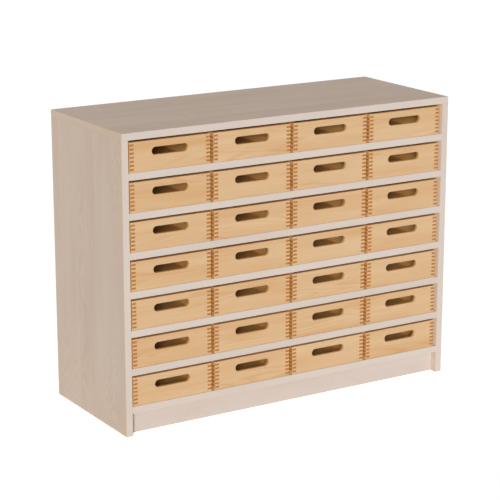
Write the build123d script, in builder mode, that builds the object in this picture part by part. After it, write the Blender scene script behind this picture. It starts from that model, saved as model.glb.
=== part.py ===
"""Tray storage cabinet: a veneered carcass with seven rows of four loose wooden trays.

Millimetres, +Z up, the front faces -Y, and the origin is the middle of the footprint on the floor.
"""
import os

from build123d import *

os.makedirs("parts", exist_ok=True)

# Carcass
cabinet_width = 1022
cabinet_depth = 400
cabinet_height = 800
panel = 19  # thickness of the sides, top, bottom, shelves and plinths
edge_band = 1  # solid strip glued on each edge that shows
back_thickness = 8
plinth_height = 60
plinth_recess = 23
rebate_width = 9  # seat of the back panel in the sides and the top

# Trays
tray_rows = 7
tray_columns = 4
tray_left_gap = 4  # beside the first tray of a row
tray_gap = 9  # to the right of each tray
tray_top_clearance = 6
tray_recess = 3
tray_back_clearance = 1
tray_wall = 13
base_thickness = 4
base_lift = 2

# Finger joints at the tray fronts: a mitred shoulder at the top and the bottom,
# and between them the fingers of the side board and of the front board in turn
side_fingers = 7
front_fingers = side_fingers - 1
shoulders = 2

# Hand slot through each tray front
slot_length = 105
slot_width = 20
slot_edge = 18.5  # wood left above the slot
slot_end_sides = 8  # the round ends are polygons, since the slot repeats in every tray

# Places that follow from the sizes
front = -cabinet_depth / 2
rear = cabinet_depth / 2
board_front = front + edge_band
inside_rear = rear - back_thickness
inner_width = cabinet_width - 2 * panel
top_underside = cabinet_height - panel
opening_height = (top_underside - plinth_height - tray_rows * panel) / tray_rows
row_pitch = opening_height + panel
shelf_levels = [plinth_height + i * row_pitch for i in range(tray_rows)]

tray_width = (inner_width - tray_left_gap - tray_columns * tray_gap) / tray_columns
tray_depth = cabinet_depth - back_thickness - tray_recess - tray_back_clearance
tray_height = opening_height - tray_top_clearance
tray_inner_width = tray_width - 2 * tray_wall
finger = tray_height / (side_fingers + front_fingers + shoulders)
slot_centre_height = tray_height - slot_edge - slot_width / 2

MIN_MIN = (Align.MIN, Align.MIN)
MAX_MAX = (Align.MAX, Align.MAX)
MID_MIN = (Align.CENTER, Align.MIN)
MID_MAX = (Align.CENTER, Align.MAX)


# Side panels, from the floor to the underside of the top
with BuildPart() as left_side:
    with BuildSketch(Plane.XY):
        with Locations((-cabinet_width / 2, board_front)):
            Rectangle(panel, rear - board_front, align=MIN_MIN)
    extrude(amount=top_underside)

    # rebate for the back panel
    with BuildSketch(Plane.XY.offset(plinth_height)):
        with Locations((-inner_width / 2, rear)):
            Rectangle(rebate_width, back_thickness, align=MAX_MAX)
    extrude(amount=top_underside - plinth_height, mode=Mode.SUBTRACT)
left_side.part.label = "left_side_panel"
export_step(left_side.part, "parts/left_side_panel.step")

with BuildPart() as right_side:
    mirror(left_side.part, about=Plane.YZ)
right_side.part.label = "right_side_panel"
export_step(right_side.part, "parts/right_side_panel.step")


# Top panel, lying over both sides
with BuildPart() as top:
    with BuildSketch(Plane.XY.offset(top_underside)):
        with Locations((0, board_front)):
            Rectangle(cabinet_width - 2 * edge_band, rear - board_front, align=MID_MIN)
    extrude(amount=panel)

    # rebate for the back panel
    with BuildSketch(Plane.XY.offset(top_underside)):
        with Locations((0, rear)):
            Rectangle(inner_width + 2 * rebate_width, back_thickness, align=MID_MAX)
    extrude(amount=rebate_width, mode=Mode.SUBTRACT)
top.part.label = "top_panel"
export_step(top.part, "parts/top_panel.step")


# Bottom panel and shelves: alike, butted between the sides, with their dowels left out
shelf_names = ["bottom_panel"] + [f"shelf_{tray_rows - i}" for i in range(1, tray_rows)]
for shelf_name, level in zip(shelf_names, shelf_levels):
    with BuildPart() as shelf:
        with BuildSketch(Plane.XY.offset(level)):
            with Locations((0, board_front)):
                Rectangle(inner_width, inside_rear - board_front, align=MID_MIN)
        extrude(amount=panel)
    shelf.part.label = shelf_name
    export_step(shelf.part, f"parts/{shelf_name}.step")


# Back panel, let into the rebates
with BuildPart() as back:
    with BuildSketch(Plane.XY.offset(plinth_height)):
        with Locations((0, rear)):
            Rectangle(inner_width + 2 * rebate_width, back_thickness, align=MID_MAX)
    extrude(amount=top_underside + rebate_width - plinth_height)
back.part.label = "back_panel"
export_step(back.part, "parts/back_panel.step")


# Plinth: a front and a rear board between the sides, and a bearer across the middle
with BuildPart() as front_plinth:
    with BuildSketch(Plane.XY):
        with Locations((0, front + plinth_recess)):
            Rectangle(inner_width, panel, align=MID_MIN)
    extrude(amount=plinth_height)
front_plinth.part.label = "front_plinth"
export_step(front_plinth.part, "parts/front_plinth.step")

with BuildPart() as rear_plinth:
    with BuildSketch(Plane.XY):
        with Locations((0, inside_rear)):
            Rectangle(inner_width, panel, align=MID_MAX)
    extrude(amount=plinth_height)
rear_plinth.part.label = "rear_plinth"
export_step(rear_plinth.part, "parts/rear_plinth.step")

with BuildPart() as bearer:
    with BuildSketch(Plane.XY):
        with Locations((0, front + plinth_recess + panel)):
            Rectangle(panel, inside_rear - front - plinth_recess - 2 * panel, align=MID_MIN)
    extrude(amount=plinth_height)
bearer.part.label = "plinth_bearer"
export_step(bearer.part, "parts/plinth_bearer.step")


# Edge bands on the fronts of the carcass boards and on the two ends of the top
with BuildPart() as top_front_band:
    with BuildSketch(Plane.XY.offset(top_underside)):
        with Locations((0, front)):
            Rectangle(cabinet_width, edge_band, align=MID_MIN)
    extrude(amount=panel)
top_front_band.part.label = "top_front_band"
export_step(top_front_band.part, "parts/top_front_band.step")

with BuildPart() as top_end_bands:
    with BuildSketch(Plane.XY.offset(top_underside)):
        with Locations((0, board_front)):
            with GridLocations(cabinet_width - edge_band, 0, 2, 1):
                Rectangle(edge_band, rear - board_front, align=MID_MIN)
    extrude(amount=panel)
top_end_bands.part.label = "top_end_bands"
export_step(top_end_bands.part, "parts/top_end_bands.step")

with BuildPart() as side_front_bands:
    with BuildSketch(Plane.XY):
        with Locations((0, front)):
            with GridLocations(cabinet_width - panel, 0, 2, 1):
                Rectangle(panel, edge_band, align=MID_MIN)
    extrude(amount=top_underside)
side_front_bands.part.label = "side_front_bands"
export_step(side_front_bands.part, "parts/side_front_bands.step")

with BuildPart() as shelf_front_bands:
    for level in shelf_levels:
        with BuildSketch(Plane.XY.offset(level)):
            with Locations((0, front)):
                Rectangle(inner_width, edge_band, align=MID_MIN)
        extrude(amount=panel)
shelf_front_bands.part.label = "shelf_front_bands"
export_step(shelf_front_bands.part, "parts/shelf_front_bands.step")


# Boards of one tray, in the tray's own place: the front face at y = 0, the underside at z = 0
with BuildPart() as front_board:
    with BuildSketch(Plane.XZ):
        with Locations((0, tray_height / 2)):
            Rectangle(tray_width, tray_height)
            # the side board's fingers pass through both ends
            with GridLocations(tray_width - tray_wall, 2 * finger, 2, side_fingers):
                Rectangle(tray_wall, finger, mode=Mode.SUBTRACT)
        with Locations((0, slot_centre_height)):
            Rectangle(slot_length - slot_width, slot_width, mode=Mode.SUBTRACT)
            with GridLocations(slot_length - slot_width, 0, 2, 1):
                RegularPolygon(slot_width / 2, slot_end_sides, mode=Mode.SUBTRACT)
    extrude(amount=-tray_wall)

    # mitre the shoulders at the bottom and the top
    for height in (0, tray_height - finger):
        with BuildSketch(Plane.XY.offset(height)):
            with BuildLine():
                Polyline(
                    (tray_width / 2, 0),
                    (tray_width / 2, tray_wall),
                    (tray_inner_width / 2, tray_wall),
                    close=True,
                )
            make_face()
            mirror(about=Plane.YZ)
        extrude(amount=finger, mode=Mode.SUBTRACT)

with BuildPart() as right_board:
    with BuildSketch(Plane.YZ.offset(tray_inner_width / 2)):
        Rectangle(tray_depth, tray_height, align=MIN_MIN)
        # the front board's fingers pass through the front end
        with Locations((tray_wall / 2, tray_height / 2)):
            with GridLocations(0, 2 * finger, 1, front_fingers):
                Rectangle(tray_wall, finger, mode=Mode.SUBTRACT)
    extrude(amount=tray_wall)

    # mitre the shoulders at the bottom and the top
    for height in (0, tray_height - finger):
        with BuildSketch(Plane.XY.offset(height)):
            with BuildLine():
                Polyline(
                    (tray_width / 2, 0),
                    (tray_inner_width / 2, tray_wall),
                    (tray_inner_width / 2, 0),
                    close=True,
                )
            make_face()
        extrude(amount=finger, mode=Mode.SUBTRACT)

with BuildPart() as left_board:
    mirror(right_board.part, about=Plane.YZ)

with BuildPart() as back_board:
    with BuildSketch(Plane.XY):
        with Locations((0, tray_depth)):
            Rectangle(tray_inner_width, tray_wall, align=MID_MAX)
    extrude(amount=tray_height)

with BuildPart() as base:
    with BuildSketch(Plane.XY.offset(base_lift)):
        with Locations((0, tray_wall)):
            Rectangle(tray_inner_width, tray_depth - 2 * tray_wall, align=MID_MIN)
    extrude(amount=base_thickness)


# Trays: the five boards of each as one group, row 1 at the top and column 1 at the left
tray_boards = [front_board.part, right_board.part, left_board.part, back_board.part, base.part]
first_column = -inner_width / 2 + tray_left_gap + tray_width / 2
for row in range(1, tray_rows + 1):
    for column in range(1, tray_columns + 1):
        place = Location(
            (
                first_column + (column - 1) * (tray_width + tray_gap),
                front + tray_recess,
                shelf_levels[tray_rows - row] + panel,
            )
        )
        tray_name = f"tray_r{row}c{column}"
        tray = Compound(label=tray_name, children=[board.moved(place) for board in tray_boards])
        export_step(tray, f"parts/{tray_name}.step")
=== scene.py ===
"""Looks of the tray storage cabinet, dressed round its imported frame. Metres, in the row frame."""

import math
import random

import bmesh
import bpy
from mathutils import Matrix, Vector


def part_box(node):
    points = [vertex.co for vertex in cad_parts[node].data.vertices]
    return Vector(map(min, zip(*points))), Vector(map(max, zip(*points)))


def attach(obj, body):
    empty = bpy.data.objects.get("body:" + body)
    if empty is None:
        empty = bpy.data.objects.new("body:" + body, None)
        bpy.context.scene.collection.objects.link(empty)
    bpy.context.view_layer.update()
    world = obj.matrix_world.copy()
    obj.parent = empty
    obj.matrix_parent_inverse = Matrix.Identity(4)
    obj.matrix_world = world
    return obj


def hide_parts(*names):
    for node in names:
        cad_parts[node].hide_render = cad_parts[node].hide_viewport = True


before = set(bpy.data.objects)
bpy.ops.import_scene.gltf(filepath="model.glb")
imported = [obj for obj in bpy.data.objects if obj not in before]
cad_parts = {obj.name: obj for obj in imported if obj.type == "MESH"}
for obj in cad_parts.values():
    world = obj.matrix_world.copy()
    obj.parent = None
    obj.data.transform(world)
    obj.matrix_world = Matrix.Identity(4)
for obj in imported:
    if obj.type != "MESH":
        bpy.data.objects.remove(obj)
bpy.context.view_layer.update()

MM = 0.001

# Sizes in millimetres, as in the CAD
PANEL = 19
BAND = 1
REBATE_WIDTH = 9
BACK_THICKNESS = 8
PLINTH_HEIGHT = 60
TRAY_ROWS = 7
TRAY_COLUMNS = 4
TRAY_WALL = 13
FINGERS = 15  # seven of the side board, six of the front board and the two shoulders
BASE_THICKNESS = 4
BASE_LIFT = 2
SLOT_LENGTH = 105
SLOT_WIDTH = 20
SLOT_CENTRE = 49.5  # above the tray's underside

# Sizes in millimetres that only the visual model has
CORNER = 1.4  # rounding of the trays' upright corners
CORNER_STEPS = 4  # segments of that rounding, an even number
EDGE = 0.9  # rounding of the tray boards' upper edges
LOWER_EDGE = 0.3  # and of their lower ones
EDGE_PROFILE = [(0.0, 1.0), (0.3, 0.3), (1.0, 0.0)]  # height and inset, as shares of a rounding
JOIN = 20.0  # how far from the corners a front board's middle begins
SLOT_ROUND = 2.0  # rounding of the hand slots' rims
SLOT_ROUND_SHARES = [0.0, 0.12, 0.4, 1.0]  # depths of its steps, as shares of it
SLOT_END_STEPS = 8  # segments of a quarter of a slot's round end
BAND_EDGE = 0.8  # rounding of the edge bands' long edges
LIP = 1.5  # how far the yellower wood shows beside the veneer of a band
SCREW_PROUD = 0.4  # how far the screw heads stand out of the back, which is as much thinner
SCREW_PROFILE = [(3.6, 0.0), (3.6, 0.3), (3.3, 0.8), (2.5, 1.0)]  # radius, and share of the height
CROSS_REACH = 1.9  # half length of the cross recess in a screw head
CROSS_HALF = 0.45  # half width of its arms
CROSS_FLOOR = 0.6  # size of its floor, as a share of the cross
SCREWS_UP = 4  # along each side of the back
SCREWS_ACROSS = 5  # along its top and along its bottom
NEAR = 0.1  # places that are closer than this count as the same

# Lengths in metres
SAME_POINT = 1e-7  # corners of a face that are closer than this are one corner
MERGED = 1e-6  # and points of a board
GRAIN_SHIFTS = (3, 40)  # how far from the start of its wood a board is cut, on each axis

# Least part of a normal along an axis
FACING = 0.9  # for a face that faces that way
LEANING = 0.6  # for a face on a rounded corner that still belongs to that side


# Meshes
def linked(bm, name, body, nodes, materials):
    """Turns bm into an object that rides on body and stands for the CAD nodes."""
    mesh = bpy.data.meshes.new(name)
    bm.to_mesh(mesh)
    bm.free()
    for material in materials:
        mesh.materials.append(material)
    obj = bpy.data.objects.new(name, mesh)
    bpy.context.scene.collection.objects.link(obj)
    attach(obj, body)
    if nodes:
        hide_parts(*nodes)


def new_mesh():
    """An empty mesh whose points can hold their place in the grain."""
    bm = bmesh.new()
    bm.verts.layers.float_vector.new("grain")
    return bm


def stack(bm, rings):
    """Joins rings of points, each as long as the next, into one closed solid."""
    made = [[bm.verts.new(Vector(point) * MM) for point in ring] for ring in rings]
    bm.faces.new(made[0])
    bm.faces.new(made[-1])
    count = len(made[0])
    for low, high in zip(made, made[1:]):
        for i in range(count):
            j = (i + 1) % count
            corners = []
            for vert in (low[i], low[j], high[j], high[i]):
                if all((vert.co - other.co).length > SAME_POINT for other in corners):
                    corners.append(vert)
            if len(corners) > 2:
                bm.faces.new(corners)
    return [vert for ring in made for vert in ring]


def tidy(bm, verts):
    """Merges what coincides among verts and turns the faces outwards."""
    bmesh.ops.remove_doubles(bm, verts=verts, dist=MERGED)
    live = [vert for vert in verts if vert.is_valid]
    faces = list({face for vert in live for face in vert.link_faces})
    bmesh.ops.recalc_face_normals(bm, faces=faces)
    return live


def slab(bm, low, high, edge=0.0):
    """A board between two corners in millimetres, with its long edges rounded by edge."""
    (x0, y0, z0), (x1, y1, z1) = low, high
    rings = [[(x0, y0, z), (x1, y0, z), (x1, y1, z), (x0, y1, z)] for z in (z0, z1)]
    verts = tidy(bm, stack(bm, rings))
    if edge:
        longest = max(x1 - x0, y1 - y0, z1 - z0) - NEAR
        before = set(bm.verts) - set(verts)
        edges = {line for vert in verts for line in vert.link_edges}
        edges = [line for line in edges if line.calc_length() > longest * MM]
        bmesh.ops.bevel(bm, geom=edges, offset=edge * MM, segments=2, profile=0.6, affect="EDGES")
        verts = [vert for vert in bm.verts if vert not in before]
    return verts


def grain_of(bm, verts, along, across, through, seed):
    """Gives verts their place in the board's own wood: along, across and through its grain."""
    layer = bm.verts.layers.float_vector["grain"]
    pick = random.Random(seed)
    shift = Vector([pick.uniform(*GRAIN_SHIFTS) for _ in range(3)])
    for vert in verts:
        vert[layer] = Vector((vert.co[along], vert.co[across], vert.co[through])) + shift


def marked(verts, test, index):
    """Gives the faces of verts whose normal and middle pass the test another material."""
    for face in {face for vert in verts for face in vert.link_faces}:
        face.normal_update()
        if test(face.normal, face.calc_center_median()):
            face.material_index = index


def every_face(normal, centre):
    return True


def box_mm(node):
    """The low and the high corner of a CAD node's box, in millimetres."""
    low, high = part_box(node)
    return [value / MM for value in low], [value / MM for value in high]


# Shader nodes
class Tree:
    """Short hands for building the nodes of one material or of the world."""

    def __init__(self, owner):
        owner.use_nodes = True
        self.owner = owner
        self.tree = owner.node_tree
        self.tree.nodes.clear()

    def node(self, kind, links=None, values=None, **settings):
        """A node with its settings, the values of its sockets and the links to them."""
        node = self.tree.nodes.new("ShaderNode" + kind)
        for key, value in settings.items():
            setattr(node, key, value)
        for key, value in (values or {}).items():
            node.inputs[key].default_value = value
        for key, socket in (links or {}).items():
            self.tree.links.new(socket, node.inputs[key])
        return node

    def math(self, operation, first, second=0.0):
        node = self.node("Math", operation=operation)
        for i, value in enumerate((first, second)):
            if isinstance(value, (int, float)):
                node.inputs[i].default_value = value
            else:
                self.tree.links.new(value, node.inputs[i])
        return node.outputs[0]

    def plus(self, first, second):
        return self.math("ADD", first, second)

    def minus(self, first, second):
        return self.math("SUBTRACT", first, second)

    def times(self, first, second):
        return self.math("MULTIPLY", first, second)

    def over(self, first, second):
        return self.math("DIVIDE", first, second)

    def grain(self):
        """The point's place along, across and through the grain, in metres."""
        return self.node("Attribute", attribute_name="grain").outputs["Vector"]

    def split(self, vector):
        return self.node("SeparateXYZ", {"Vector": vector}).outputs

    def moved(self, vector, by, amount):
        """Adds amount times the vector or colour by."""
        node = self.node("VectorMath", {0: by, 2: vector}, operation="MULTIPLY_ADD")
        node.inputs[1].default_value = (amount,) * 3
        return node.outputs[0]

    def scaled(self, vector, scales):
        node = self.node("VectorMath", {0: vector}, operation="MULTIPLY")
        node.inputs[1].default_value = scales
        return node.outputs[0]

    def noise(self, vector, scales, detail=3.0, roughness=0.5, distortion=0.0):
        """Noise with its own scale, in features per metre, along each axis."""
        values = {"Scale": 1.0, "Detail": detail, "Roughness": roughness, "Distortion": distortion}
        return self.node("TexNoise", {"Vector": self.scaled(vector, scales)}, values).outputs[0]

    def span(self, factor, low, high):
        """Spreads factor between two bounds to 0..1."""
        node = self.node("MapRange", {"Value": factor}, {"From Min": low, "From Max": high})
        return node.outputs[0]

    def ramp(self, factor, stops):
        """A colour ramp through stops, each a position with a colour or a grey."""
        node = self.node("ValToRGB", {"Fac": factor})
        elements = node.color_ramp.elements
        while len(elements) < len(stops):
            elements.new(0.5)
        for element, (position, colour) in zip(elements, stops):
            element.position = position
            element.color = (*colour, 1.0) if isinstance(colour, tuple) else (colour,) * 3 + (1.0,)
        return node.outputs["Color"]

    def mix(self, factor, first, second, blend="MIX"):
        """The first colour with as much of the second as factor says."""
        node = self.node("Mix", data_type="RGBA", blend_type=blend)
        sockets = (node.inputs[0], node.inputs[6], node.inputs[7])  # factor and the two colours
        for socket, value in zip(sockets, (factor, first, second)):
            if isinstance(value, bpy.types.NodeSocket):
                self.tree.links.new(value, socket)
            elif isinstance(value, tuple):
                socket.default_value = (*value, 1.0)
            else:
                socket.default_value = value
        return node.outputs[2]

    def chosen(self, factor, first, second):
        """The first shader where factor is 0, and the second where it is 1."""
        return self.node("MixShader", {0: factor, 1: first, 2: second}).outputs[0]

    def seen_directly(self):
        """1 for rays from the camera and for those that reflections and glass send out."""
        path = self.node("LightPath").outputs
        straight = self.math("MAXIMUM", path["Is Camera Ray"], path["Is Glossy Ray"])
        return self.math("MAXIMUM", straight, path["Is Transmission Ray"])

    def surface(self, shader, output="OutputMaterial"):
        """Ends the tree with the shader, and gives the material or the world that owns it."""
        self.node(output, {"Surface": shader})
        return self.owner

    def finish(self, colour, roughness, bump=None, bump_depth=0.0, specular=0.3, metallic=0.0):
        """The material with this colour and roughness, and with bump as its height in metres."""
        bsdf = self.node(
            "BsdfPrincipled",
            {"Base Color": colour},
            {"Specular IOR Level": specular, "Metallic": metallic},
        )
        if isinstance(roughness, float):
            bsdf.inputs["Roughness"].default_value = roughness
        else:
            self.tree.links.new(roughness, bsdf.inputs["Roughness"])
        if bump is not None:
            node = self.node("Bump", {"Height": bump}, {"Strength": 1.0, "Distance": bump_depth})
            self.tree.links.new(node.outputs[0], bsdf.inputs["Normal"])
        return self.surface(bsdf.outputs[0])


def material_tree(name):
    return Tree(bpy.data.materials.new(name))


def srgb(red, green, blue):
    """A colour written as 0 to 255, made linear."""

    def linear(value):
        value /= 255
        return value / 12.92 if value <= 0.04045 else ((value + 0.055) / 1.055) ** 2.4

    return (linear(red), linear(green), linear(blue))


# Materials
FIBRE_RANGE = (0.35, 0.75)  # stretch of their noise over which the fibres come out
PATCH_RANGE = (0.42, 0.66)  # and over which the patches of figure do


def tray_wood(name, pale, plain, warm, deep):
    """Lacquered softwood: slow bands along the board, a long thin figure and fine fibres."""
    figure_turns = 95.0  # radians that the figure's lines take over its noise's whole range
    figure_strength = 0.34
    fibre_strength = 0.15
    speck_strength = 0.1
    speck_colour = srgb(165, 110, 62)
    least_roughness = 0.44
    fibre_roughness = 0.16

    tree = material_tree(name)
    grain = tree.grain()
    bands = tree.noise(grain, (1.8, 24, 12), detail=2.5, roughness=0.5, distortion=0.3)
    rings = tree.noise(grain, (1.4, 20, 9), detail=1.5, roughness=0.4)
    figure = tree.math("SINE", tree.times(rings, figure_turns))
    patches = tree.span(tree.noise(grain, (4, 17, 9), detail=1.0), *PATCH_RANGE)
    fibres = tree.noise(grain, (14, 620, 620), detail=2.0, roughness=0.6)
    pores = tree.noise(grain, (110, 1500, 1500), detail=1.0)

    colour = tree.ramp(tree.span(bands, 0.26, 0.76), [(0.0, pale), (0.55, plain), (1.0, warm)])
    lines = tree.times(tree.times(tree.span(figure, 0.1, 1.0), patches), figure_strength)
    colour = tree.mix(lines, colour, deep)
    colour = tree.mix(tree.times(tree.span(fibres, *FIBRE_RANGE), fibre_strength), colour, deep)
    specks = tree.ramp(pores, [(0.0, 0.0), (0.66, 0.0), (0.74, 1.0)])
    colour = tree.mix(tree.times(specks, speck_strength), colour, speck_colour)
    roughness = tree.plus(tree.times(fibres, fibre_roughness), least_roughness)
    return tree.finish(colour, roughness, bump=fibres, bump_depth=0.00012, specular=0.18)


def tray_end_grain():
    """The fingers' ends: darker, with growth rings and open pores."""
    pore_strength = 0.35
    pore_colour = srgb(132, 76, 30)

    tree = material_tree("tray_end_grain")
    grain = tree.grain()
    rings = tree.noise(grain, (40, 420, 160), detail=3.0, roughness=0.6, distortion=0.4)
    pores = tree.noise(grain, (900, 1700, 1700), detail=1.0)
    colour = tree.ramp(
        tree.span(rings, 0.25, 0.75),
        [(0.0, srgb(200, 139, 76)), (0.5, srgb(187, 123, 60)), (1.0, srgb(168, 103, 44))],
    )
    colour = tree.mix(tree.times(tree.span(pores, 0.5, 0.8), pore_strength), colour, pore_colour)
    return tree.finish(colour, roughness=0.62, bump=pores, bump_depth=0.0001, specular=0.12)


def veneer(name, light, middle, dark, line, strength=1.0):
    """A glazed veneer laid in leaves, each with its own tone and its own pointed, wavy figure."""
    leaf = 0.105  # width of a leaf
    ring = 0.011  # distance between the lines of the figure
    arch_top = 0.02  # roundness of the figure's arches at their tops
    arch_slope = 0.8  # how closely they follow each other along the leaf
    wave_height = 0.075
    leaf_shift = 7.0  # how far apart the leaves are cut from the wood, at most
    streak_share = 0.27
    cloud_share = 0.53
    tone_share = 0.2
    line_strength = 0.2 * strength
    fibre_strength = 0.1 * strength
    shade_colour = (0.93, 0.82, 0.7)  # what the darker lines of the figure leave of the colour
    least_roughness = 0.58
    fibre_roughness = 0.14

    tree = material_tree(name)
    grain = tree.grain()
    place = tree.over(tree.split(grain)[1], leaf)
    number = tree.math("FLOOR", place)
    chance = tree.node("TexWhiteNoise", {"W": number}, noise_dimensions="1D").outputs["Color"]
    tone, lean, centre = tree.split(chance)
    own = tree.moved(grain, chance, leaf_shift)

    # lines of growth, cut lengthwise: nested arches round a line somewhere in the leaf
    beside = tree.times(tree.minus(tree.minus(place, number), centre), leaf)
    bow = tree.math("SQRT", tree.plus(tree.times(beside, beside), arch_top**2))
    climb = tree.times(tree.split(own)[0], tree.times(tree.minus(lean, 0.5), arch_slope))
    waves = tree.times(tree.noise(own, (6, 17, 7), detail=2.0, roughness=0.45), wave_height)
    rings = tree.plus(tree.plus(bow, climb), waves)
    figure = tree.math("SINE", tree.over(rings, ring / (2 * math.pi)))
    patches = tree.span(tree.noise(own, (3.5, 10, 5), detail=1.0), *PATCH_RANGE)

    # long streaks, wide clouds and the leaf's own tone, under the lines of the figure
    streaks = tree.noise(own, (1.5, 30, 9), detail=2.5, roughness=0.5, distortion=0.25)
    clouds = tree.noise(own, (3.2, 11, 4), detail=1.5)
    fibres = tree.noise(own, (10, 520, 520), detail=2.0, roughness=0.6)
    mixed = tree.plus(tree.times(streaks, streak_share), tree.times(clouds, cloud_share))
    mixed = tree.plus(mixed, tree.times(tone, tone_share))
    colour = tree.ramp(tree.span(mixed, 0.25, 0.75), [(0.0, light), (0.5, middle), (1.0, dark)])
    lines = tree.times(tree.times(tree.span(figure, -0.2, 1.0), patches), line_strength)
    colour = tree.mix(lines, colour, line)
    shade = tree.times(tree.times(tree.span(figure, 0.2, -1.0), patches), line_strength)
    colour = tree.mix(shade, colour, shade_colour, blend="MULTIPLY")
    colour = tree.mix(tree.times(tree.span(fibres, *FIBRE_RANGE), fibre_strength), colour, line)
    roughness = tree.plus(tree.times(fibres, fibre_roughness), least_roughness)
    return tree.finish(colour, roughness, bump=fibres, bump_depth=0.00006, specular=0.08)


def chip_core():
    """Raw edges of the boards: pressed chips."""
    middle_grey = (0.5, 0.5, 0.5)
    gap_strength = 0.4
    gap_colour = srgb(150, 116, 80)

    tree = material_tree("board_core")
    grain = tree.grain()
    chips = tree.node("TexVoronoi", {"Vector": tree.scaled(grain, (420, 900, 700))}, {"Scale": 1.0})
    fine = tree.noise(grain, (900, 900, 900), detail=2.0)
    grey = tree.node("RGBToBW", {"Color": tree.mix(0.5, chips.outputs["Color"], middle_grey)})
    colour = tree.ramp(
        grey.outputs[0],
        [(0.2, srgb(186, 156, 120)), (0.5, srgb(206, 178, 142)), (0.8, srgb(222, 198, 164))],
    )
    colour = tree.mix(tree.times(tree.span(fine, 0.45, 0.8), gap_strength), colour, gap_colour)
    return tree.finish(colour, roughness=0.8, bump=fine, bump_depth=0.0002, specular=0.15)


def screw_metal():
    """Bright steel with fine scratches."""
    tree = material_tree("screw_metal")
    scratches = tree.noise(tree.node("TexCoord").outputs["Object"], (900, 900, 900), detail=2.0)
    colour = tree.ramp(scratches, [(0.3, srgb(188, 186, 180)), (0.7, srgb(214, 212, 206))])
    return tree.finish(colour, roughness=0.35, specular=0.5, metallic=1.0)


WOOD = tray_wood(
    "tray_wood", srgb(224, 191, 151), srgb(218, 181, 138), srgb(213, 168, 118), srgb(200, 146, 89)
)
# painted shade: a deeper, more saturated copy of the tray wood for the side and back boards and the slot
# ends, standing in for the warm shade in the gaps between trays
SIDE_WOOD_PAINTED_SHADE = tray_wood(
    "tray_side_wood_painted_shade", srgb(224, 181, 124), srgb(217, 169, 109), srgb(210, 158, 95), srgb(192, 132, 66)
)
# painted light: a brighter, more saturated copy of the tray wood inside the trays, standing in for warm
# light bounced round their insides
INNER_WOOD_PAINTED_LIGHT = tray_wood(
    "tray_inner_wood_painted_light", srgb(238, 187, 119), srgb(231, 177, 107), srgb(223, 165, 94), srgb(200, 136, 68)
)
# painted shade: a darker copy of the tray wood on the boards' top faces, for the shade in the gap under
# each shelf
RIM_WOOD_PAINTED_SHADE = tray_wood(
    "tray_rim_wood_painted_shade", srgb(214, 162, 100), srgb(207, 151, 87), srgb(198, 140, 74), srgb(176, 114, 52)
)
END = tray_end_grain()
VENEER = veneer(
    "carcass_veneer", srgb(221, 202, 186), srgb(215, 194, 177), srgb(208, 185, 166), srgb(234, 213, 183)
)
EDGING = veneer(
    "edge_veneer", srgb(222, 209, 199), srgb(217, 204, 193), srgb(211, 197, 185), srgb(198, 179, 161),
    strength=0.6,
)
# painted light: a lighter, warmer copy of the veneer on the side panels' inner faces beside the trays,
# offsetting the shade there
INSIDE_PAINTED_LIGHT = veneer(
    "inside_veneer_painted_light", srgb(236, 217, 197), srgb(231, 209, 186), srgb(225, 201, 175), srgb(240, 221, 190)
)
PLINTH = veneer(
    "plinth_veneer", srgb(220, 207, 197), srgb(215, 201, 190), srgb(208, 193, 181), srgb(197, 178, 160),
    strength=0.9,
)
BACK = veneer(
    "back_veneer", srgb(222, 204, 184), srgb(216, 196, 173), srgb(208, 186, 161), srgb(190, 162, 132)
)
BAND_SIDE = veneer(
    "band_edge", srgb(234, 208, 160), srgb(228, 199, 148), srgb(220, 190, 136), srgb(204, 168, 112),
    strength=0.5,
)
CORE = chip_core()
SCREW = screw_metal()

# What the boards' faces are made of, some as copies with painted light or painted shade, and the places
# of these materials in the lists
SIDE_PANEL_WOODS = [VENEER, CORE, INSIDE_PAINTED_LIGHT]
TOP_PANEL_WOODS = [VENEER, CORE]
RAW_EDGE = 1
INNER_FACE = 2
BAND_FLANK = 1
# the tray wood, its end grain, and copies of the tray wood with painted shade (side, rim) and painted
# light (inside)
TRAY_WOODS = [WOOD, END, SIDE_WOOD_PAINTED_SHADE, INNER_WOOD_PAINTED_LIGHT, RIM_WOOD_PAINTED_SHADE]
TRAY_END = 1
TRAY_SIDE = 2
TRAY_INSIDE = 3
TRAY_RIM = 4

# The axes along, across and through the grain of a board
LENGTHWISE = (0, 1, 2)
LENGTHWISE_UPRIGHT = (0, 2, 1)
UPRIGHT = (2, 1, 0)
UPRIGHT_FACING_FRONT = (2, 0, 1)
FRONT_TO_BACK = (1, 2, 0)

# Carcass
CABINET = "cabinet"
SHELVES = [f"shelf_{i}" for i in range(1, TRAY_ROWS)]


def side_panel(node, side, seed):
    """An upright side board with the back's rebate; side is -1 at the left and 1 at the right."""
    (x0, y0, z0), (x1, y1, z1) = box_mm(node)
    outer, inner = (x0, x1) if side < 0 else (x1, x0)
    step = inner + side * REBATE_WIDTH
    seat = y1 - BACK_THICKNESS
    full = [(outer, y0), (inner, y0), (inner, seat), (inner, y1), (step, y1), (outer, y1)]
    rebated = [(outer, y0), (inner, y0), (inner, seat), (step, seat), (step, y1), (outer, y1)]
    levels = [(z0, full), (PLINTH_HEIGHT, full), (PLINTH_HEIGHT, rebated), (z1, rebated)]

    def raw(normal, centre):
        return normal.y > FACING and centre.y > (y1 - NEAR) * MM or normal.z < -FACING

    # the inner faces beside the trays, which get the veneer with painted light
    def inside(normal, centre):
        return normal.x * side < -FACING and centre.z > PLINTH_HEIGHT * MM

    bm = new_mesh()
    verts = tidy(bm, stack(bm, [[(x, y, z) for x, y in plan] for z, plan in levels]))
    grain_of(bm, verts, *UPRIGHT, seed)
    marked(verts, raw, RAW_EDGE)
    marked(verts, inside, INNER_FACE)
    linked(bm, f"{node}_board", CABINET, [node], SIDE_PANEL_WOODS)


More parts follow.
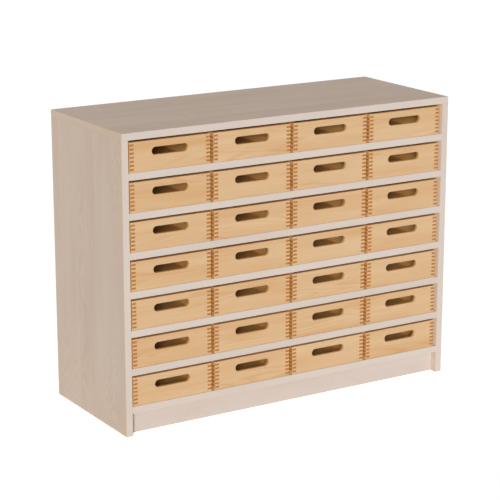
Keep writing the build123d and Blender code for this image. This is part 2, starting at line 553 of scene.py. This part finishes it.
def top_panel(node, seed):
    """The top board, with a rebate as long as the back panel is wide."""
    (x0, y0, z0), (x1, y1, z1) = box_mm(node)
    low, high = box_mm("back_panel")
    seat, step = y1 - BACK_THICKNESS, z0 + REBATE_WIDTH
    full = [(y0, z0), (seat, z0), (y1, z0), (y1, step), (y1, z1), (y0, z1)]
    rebated = [(y0, z0), (seat, z0), (seat, step), (y1, step), (y1, z1), (y0, z1)]
    places = [(x0, full), (low[0], full), (low[0], rebated), (high[0], rebated)]
    places += [(high[0], full), (x1, full)]

    def raw(normal, centre):
        return normal.y > FACING and centre.y > (y1 - NEAR) * MM

    bm = new_mesh()
    verts = tidy(bm, stack(bm, [[(x, y, z) for y, z in profile] for x, profile in places]))
    grain_of(bm, verts, *LENGTHWISE, seed)
    marked(verts, raw, RAW_EDGE)
    linked(bm, f"{node}_board", CABINET, [node], TOP_PANEL_WOODS)


def plain_board(node, axes, seed, material=VENEER):
    bm = new_mesh()
    verts = slab(bm, *box_mm(node))
    grain_of(bm, verts, *axes, seed)
    linked(bm, f"{node}_board", CABINET, [node], [material])


def split_across(bm, verts, axis, place):
    """Cuts the faces of verts at a place along an axis, and gives all their points."""
    normal = Vector([float(i == axis) for i in range(3)])
    geometry = {part for vert in verts for part in [vert, *vert.link_edges, *vert.link_faces]}
    cut = bmesh.ops.bisect_plane(
        bm, geom=list(geometry), plane_co=normal * place * MM, plane_no=normal
    )
    return list({*verts, *[part for part in cut["geom_cut"] if isinstance(part, bmesh.types.BMVert)]})


def bands(node, strips, axes, facing, seed, face=EDGING, lip=0.0):
    """Thin strips glued on the boards' edges, with a yellower lip beside the veneer of some.

    axes are those along, across and through their grain. facing tells from a normal whether it
    is that of a strip's broad face, which shows the material face.
    """
    bm = new_mesh()
    across = axes[1]
    for i, (low, high) in enumerate(strips):

        def flank(normal, centre):
            return not facing(normal)

        def beside(normal, centre):
            return not (low[across] + lip) * MM < centre[across] < (high[across] - lip) * MM

        verts = slab(bm, low, high, BAND_EDGE)
        grain_of(bm, verts, *axes, seed + i)
        marked(verts, flank, BAND_FLANK)
        if lip:
            for place in (low[across] + lip, high[across] - lip):
                verts = split_across(bm, verts, across, place)
            marked(verts, beside, BAND_FLANK)
    linked(bm, f"{node}_strips", CABINET, [node], [face, BAND_SIDE if lip else face])


def to_front(normal):
    return normal.y < -FACING


def to_ends(normal):
    return abs(normal.x) > FACING


def edge_bands():
    """The strips on the fronts of the carcass boards and on the two ends of the top."""
    low, high = box_mm("top_front_band")
    bands("top_front_band", [(low, high)], LENGTHWISE_UPRIGHT, to_front, seed=41)
    low, high = box_mm("top_end_bands")
    ends = [((x, low[1], low[2]), (x + BAND, high[1], high[2])) for x in (low[0], high[0] - BAND)]
    bands("top_end_bands", ends, FRONT_TO_BACK, to_ends, seed=42, face=VENEER, lip=LIP)
    low, high = box_mm("side_front_bands")
    fronts = [((x, low[1], low[2]), (x + PANEL, high[1], high[2])) for x in (low[0], high[0] - PANEL)]
    bands("side_front_bands", fronts, UPRIGHT_FACING_FRONT, to_front, seed=44, lip=LIP / 2)
    low, high = box_mm("shelf_front_bands")
    strips = []
    for board in ["bottom_panel"] + SHELVES:
        base, top = box_mm(board)
        strips.append(((low[0], low[1], base[2]), (high[0], high[1], top[2])))
    bands("shelf_front_bands", strips, LENGTHWISE_UPRIGHT, to_front, seed=50)


def cross_line():
    """The outline of the cross in a screw head, with a point in the middle of each side."""
    arm = [(CROSS_REACH, -CROSS_HALF), (CROSS_REACH, CROSS_HALF), (CROSS_HALF, CROSS_HALF)]
    corners = []
    for quarter in range(4):
        angle = quarter * math.pi / 2
        cosine, sine = round(math.cos(angle)), round(math.sin(angle))
        corners += [(x * cosine - z * sine, x * sine + z * cosine) for x, z in arm]
    points = []
    for (x0, z0), (x1, z1) in zip(corners, corners[1:] + corners[:1]):
        points += [(x0, z0), ((x0 + x1) / 2, (z0 + z1) / 2)]
    return points


def screw_head(bm, x, y, z):
    """A low countersunk head with a cross recess, facing +Y; y is the face that it sits in."""
    cross = cross_line()
    start = math.atan2(cross[0][1], cross[0][0])
    turns = [start + 2 * math.pi * i / len(cross) for i in range(len(cross))]
    circle = [(math.cos(turn), math.sin(turn)) for turn in turns]
    rings = []
    for radius, height in SCREW_PROFILE:
        level = y + height * SCREW_PROUD
        rings.append([(x + radius * right, level, z + radius * up) for right, up in circle])
    for share, height in ((1.0, 1.0), (CROSS_FLOOR, -1.0)):
        level = y + height * SCREW_PROUD
        rings.append([(x + share * right, level, z + share * up) for right, up in cross])
    tidy(bm, stack(bm, rings))


def back_panel(node, seed):
    """The back board, as much thinner as its screw heads stand proud, and the screws round it."""
    (x0, y0, z0), (x1, y1, z1) = box_mm(node)
    face = y1 - SCREW_PROUD
    bm = new_mesh()
    verts = slab(bm, (x0, y0, z0), (x1, face, z1))
    grain_of(bm, verts, *UPRIGHT_FACING_FRONT, seed)
    linked(bm, f"{node}_board", CABINET, [node], [BACK])

    inset = REBATE_WIDTH / 2
    bottom, top = z0 + PANEL / 2, z1 - inset
    heights = [bottom + (top - bottom) * i / (SCREWS_UP + 1) for i in range(1, SCREWS_UP + 1)]
    widths = [x0 + (x1 - x0) * i / (SCREWS_ACROSS + 1) for i in range(1, SCREWS_ACROSS + 1)]
    places = [(x, z) for x in (x0 + inset, x1 - inset) for z in heights]
    places += [(x, z) for x in widths for z in (bottom, top)]
    bm = new_mesh()
    for x, z in places:
        screw_head(bm, x, face, z)
    linked(bm, f"{node}_screws", CABINET, [], [SCREW])


side_panel("left_side_panel", -1, seed=276)
side_panel("right_side_panel", 1, seed=12)
top_panel("top_panel", seed=13)
plain_board("bottom_panel", LENGTHWISE, seed=14)
for i, shelf in enumerate(SHELVES):
    plain_board(shelf, LENGTHWISE, seed=20 + i)
plain_board("front_plinth", LENGTHWISE_UPRIGHT, seed=31, material=PLINTH)
plain_board("rear_plinth", LENGTHWISE_UPRIGHT, seed=32)
plain_board("plinth_bearer", FRONT_TO_BACK, seed=33)
back_panel("back_panel", seed=34)
edge_bands()


# Trays
def joint_rows(height):
    """Heights of a tray board's rows, each with the kind of joint there and its inset."""
    finger = height / FINGERS
    rows = []
    for i in range(FINGERS):
        kind = "mitre" if i in (0, FINGERS - 1) else "side" if i % 2 else "front"
        low, high = i * finger, (i + 1) * finger
        if i == 0:
            rows += [(rise * LOWER_EDGE, kind, inset * LOWER_EDGE) for rise, inset in EDGE_PROFILE]
        else:
            rows.append((low, kind, 0.0))
        if low < SLOT_CENTRE < high:
            rows.append((SLOT_CENTRE, kind, 0.0))
        if i == FINGERS - 1:
            rows += [(height - fall * EDGE, kind, inset * EDGE) for fall, inset in EDGE_PROFILE[::-1]]
        else:
            rows.append((high, kind, 0.0))
    return rows


def corner(owner, kind, inset):
    """One end of a tray board seen from above, from its outer face round to its inner face.

    Each point is the distance from the tray's corner along the board, and from the board's outer
    face. The two boards that meet in a corner see it with these two swapped.
    """
    radius = CORNER - inset
    turns = [math.pi / 2 * i / CORNER_STEPS for i in range(CORNER_STEPS + 1)]
    arc = [(CORNER - radius * math.sin(turn), CORNER - radius * math.cos(turn)) for turn in turns]
    half = CORNER_STEPS // 2
    if kind == "mitre":
        start, end, steps = arc[half], TRAY_WALL - inset, half + 1
        slope = [start[0] + (end - start[0]) * i / steps for i in range(1, steps + 1)]
        return arc[: half + 1] + [(place, place) for place in slope]
    if kind == owner:
        return arc + [(0.0, TRAY_WALL)]
    return [(TRAY_WALL, across) for _, across in arc] + [(TRAY_WALL, TRAY_WALL)]


def comb_board(bm, owner, length, height, place):
    """A straight tray board with the joint at both ends.

    place turns a distance along the board, one from its outer face and a height into a point.
    """
    rings = []
    for z, kind, inset in joint_rows(height):
        near = corner(owner, kind, inset)
        far = [(length - along, across) for along, across in reversed(near)]
        rings.append([place(along, across, z) for along, across in near + far])
    return tidy(bm, stack(bm, rings))


def slot_line(outset):
    """The slot's outline from its left end over the top to its right end: along and up."""
    radius, reach = SLOT_WIDTH / 2 + outset, (SLOT_LENGTH - SLOT_WIDTH) / 2
    points = []
    for centre, first in ((-reach, math.pi), (reach, math.pi / 2)):
        for i in range(SLOT_END_STEPS + 1):
            turn = first - math.pi / 2 * i / SLOT_END_STEPS
            points.append((centre + radius * math.cos(turn), radius * math.sin(turn)))
    return points


def slot_wall():
    """Distances from the outer face through the slot's wall, each with the rounding's outset."""
    outer = []
    for share in SLOT_ROUND_SHARES:
        outer.append((SLOT_ROUND * share, SLOT_ROUND * (1 - math.sqrt(1 - (1 - share) ** 2))))
    return outer + [(TRAY_WALL - across, outset) for across, outset in reversed(outer)]


def front_board(bm, length, height, place):
    """The tray's front board: the joint at both ends and the rounded hand slot in its middle."""
    verts = []

    def face(points, smooth=False):
        made = []
        for point in points:
            position = Vector(place(*point)) * MM
            if all((position - vert.co).length > SAME_POINT for vert in made):
                made.append(bm.verts.new(position))
        if len(made) > 2:
            bm.faces.new(made).smooth = smooth
        verts.extend(made)

    rows = joint_rows(height)
    for flip in (False, True):

        def at(along, across, z):
            return (length - along if flip else along, across, z)

        lines = []
        for z, kind, inset in rows:
            line = [(JOIN, inset)] + corner("front", kind, inset) + [(JOIN, TRAY_WALL - inset)]
            lines.append([at(along, across, z) for along, across in line])
        for low, high in zip(lines, lines[1:]):
            for i in range(len(low) - 1):
                face([low[i], low[i + 1], high[i + 1], high[i]])
        face(lines[0])
        face(lines[-1])

    # the long rounded edges, the upper and the lower face
    near, far = JOIN, length - JOIN
    for (z0, _, inset0), (z1, _, inset1) in zip(rows, rows[1:]):
        if inset0 or inset1:
            for below, above in ((inset0, inset1), (TRAY_WALL - inset0, TRAY_WALL - inset1)):
                face([(near, below, z0), (far, below, z0), (far, above, z1), (near, above, z1)])
    for z, _, inset in (rows[0], rows[-1]):
        outer, inner = inset, TRAY_WALL - inset
        face([(near, outer, z), (far, outer, z), (far, inner, z), (near, inner, z)])

    # the outer and the inner face, each in an upper and a lower half round the slot
    heights = sorted({z for z, _, inset in rows if not inset})
    middle = length / 2
    slot = slot_line(SLOT_ROUND)
    for across in (0.0, TRAY_WALL):
        for sign in (1, -1):
            half = [z for z in heights if sign * (z - SLOT_CENTRE) > -NEAR][::sign]
            rim = [(middle + along, across, SLOT_CENTRE + sign * up) for along, up in reversed(slot)]
            left = [(near, across, z) for z in half]
            right = [(far, across, z) for z in reversed(half)]
            face(rim + left + right)

    # the slot's wall, rounded at both rims
    wall = slot_wall()
    for (across0, outset0), (across1, outset1) in zip(wall, wall[1:]):
        first, second = slot_line(outset0), slot_line(outset1)
        for sign in (1, -1):
            for i in range(len(first) - 1):
                quad = [(*point, across0) for point in first[i : i + 2]]
                quad += [(*point, across1) for point in reversed(second[i : i + 2])]
                points = [(middle + along, across, SLOT_CENTRE + sign * up) for along, up, across in quad]
                face(points, smooth=True)
    return tidy(bm, verts)


def tray(row, column):
    """One tray: its front, back and side boards, the base, and the wood of each of their faces."""
    node = f"tray_r{row}c{column}"
    (x0, y0, z0), (x1, y1, z1) = box_mm(node)
    width, depth, height = x1 - x0, y1 - y0, z1 - z0
    first_seed = 100 * row + 10 * column
    bm = new_mesh()

    def end_of_x(normal, centre):
        out = max(x0 * MM - centre.x, centre.x - x1 * MM)
        return abs(normal.x) > LEANING and out > -CORNER * MM

    def end_of_y(normal, centre):
        out = max(y0 * MM - centre.y, centre.y - y1 * MM)
        return abs(normal.y) > LEANING and out > -CORNER * MM

    def slot_end(normal, centre):
        return abs(normal.x) > LEANING and y0 < centre.y / MM < y0 + TRAY_WALL

    def inside(normal, centre):
        x, y = centre.x / MM, centre.y / MM
        gap = TRAY_WALL - NEAR
        return normal.z > FACING or x0 + gap < x < x1 - gap and y0 + gap < y < y1 - gap

    def rim(normal, centre):
        return normal.z > FACING and centre.z > (z1 - EDGE) * MM

    def across_front(edge, turn):
        return lambda along, across, z: (x0 + along, edge + turn * across, z0 + z)

    def along_side(edge, turn):
        return lambda along, across, z: (edge + turn * across, y0 + along, z0 + z)

    def finished(verts, axes, seed, sides, ends):
        """Gives a board its grain and its woods; sides and ends tell which faces those are."""
        grain_of(bm, verts, *axes, seed)
        # the side and rim woods carry painted shade, and the inside wood carries painted light
        marked(verts, sides, TRAY_SIDE)
        marked(verts, ends, TRAY_END)
        marked(verts, inside, TRAY_INSIDE)
        marked(verts, rim, TRAY_RIM)

    front = front_board(bm, width, height, across_front(y0, 1))
    finished(front, LENGTHWISE_UPRIGHT, first_seed, slot_end, end_of_x)
    back = comb_board(bm, "front", width, height, across_front(y1, -1))
    finished(back, LENGTHWISE_UPRIGHT, first_seed + 1, every_face, end_of_x)
    for i, place in enumerate((along_side(x0, 1), along_side(x1, -1))):
        side = comb_board(bm, "side", depth, height, place)
        finished(side, FRONT_TO_BACK, first_seed + 2 + i, every_face, end_of_y)

    floor = z0 + BASE_LIFT
    low = (x0 + TRAY_WALL, y0 + TRAY_WALL, floor)
    high = (x1 - TRAY_WALL, y1 - TRAY_WALL, floor + BASE_THICKNESS)
    base = slab(bm, low, high)
    grain_of(bm, base, *LENGTHWISE, first_seed + 4)
    marked(base, every_face, TRAY_INSIDE)
    linked(bm, f"{node}_boards", node, [node], TRAY_WOODS)


for row in range(1, TRAY_ROWS + 1):
    for column in range(1, TRAY_COLUMNS + 1):
        tray(row, column)


# Floor, light and camera
WHITE = (1.0, 1.0, 1.0, 1.0)
FLOOR_GREY = (0.7, 0.7, 0.7, 1.0)
FLOOR_GLOW = 0.66  # lifts the floor to white where it is seen, and leaves the shadow on it
FLOOR_SIZE = 12.0
AMBIENT = 0.23
LAMP_DISTANCE = 4
LENS = 129.6
SENSOR = 36.0
CAMERA_PLACE = (-2.549, -4.100, 1.666)
CAMERA_PITCH = 14.846  # degrees down
CAMERA_TURN = 31.757  # degrees to the right


def sun(name, azimuth, elevation, strength, angle):
    """A lamp far away; azimuth 0 shines from the front, and positive ones from the right."""
    data = bpy.data.lights.new(name, "SUN")
    data.energy = strength
    data.angle = math.radians(angle)
    azimuth, elevation = math.radians(azimuth), math.radians(elevation)
    level = math.cos(elevation)
    away = Vector((math.sin(azimuth) * level, -math.cos(azimuth) * level, math.sin(elevation)))
    lamp = bpy.data.objects.new(name, data)
    bpy.context.scene.collection.objects.link(lamp)
    lamp.location = away * LAMP_DISTANCE
    lamp.rotation_euler = (-away).to_track_quat("-Z", "Y").to_euler()


def floor_material():
    """A grey floor that glows white where it is seen directly, and sheds no more light for it."""
    tree = material_tree("studio_floor")
    diffuse = tree.node("BsdfDiffuse", values={"Color": FLOOR_GREY}).outputs[0]
    glow = tree.node("Emission", values={"Color": WHITE, "Strength": FLOOR_GLOW}).outputs[0]
    lifted = tree.node("AddShader", {0: diffuse, 1: glow}).outputs[0]
    return tree.surface(tree.chosen(tree.seen_directly(), diffuse, lifted))


def studio_floor():
    bm = bmesh.new()
    bmesh.ops.create_grid(bm, x_segments=1, y_segments=1, size=FLOOR_SIZE)
    mesh = bpy.data.meshes.new("studio_floor")
    bm.to_mesh(mesh)
    bm.free()
    mesh.materials.append(floor_material())
    floor = bpy.data.objects.new("studio_floor", mesh)
    bpy.context.scene.collection.objects.link(floor)


def studio_world():
    """A soft light from all round, which the camera and reflections see as white."""
    tree = Tree(bpy.data.worlds.new("studio"))
    ambient = tree.node("Background", values={"Color": WHITE, "Strength": AMBIENT}).outputs[0]
    white = tree.node("Background", values={"Color": WHITE, "Strength": 1.0}).outputs[0]
    return tree.surface(tree.chosen(tree.seen_directly(), ambient, white), "OutputWorld")


def photo_camera():
    """A pitched camera that looks from nearly the same side as the photograph's."""
    data = bpy.data.cameras.new("camera")
    data.sensor_width = SENSOR
    data.lens = LENS
    camera = bpy.data.objects.new("camera", data)
    bpy.context.scene.collection.objects.link(camera)
    camera.location = CAMERA_PLACE
    camera.rotation_euler = (math.radians(90 - CAMERA_PITCH), 0.0, math.radians(-CAMERA_TURN))
    return camera


sun("key_light", azimuth=-34, elevation=14, strength=2.75, angle=14)
sun("side_light", azimuth=100, elevation=6, strength=1.6, angle=20)
sun("back_light", azimuth=172, elevation=6, strength=1.6, angle=20)
studio_floor()
scene = bpy.context.scene
scene.world = studio_world()
scene.view_settings.view_transform = "Standard"
scene.camera = photo_camera()
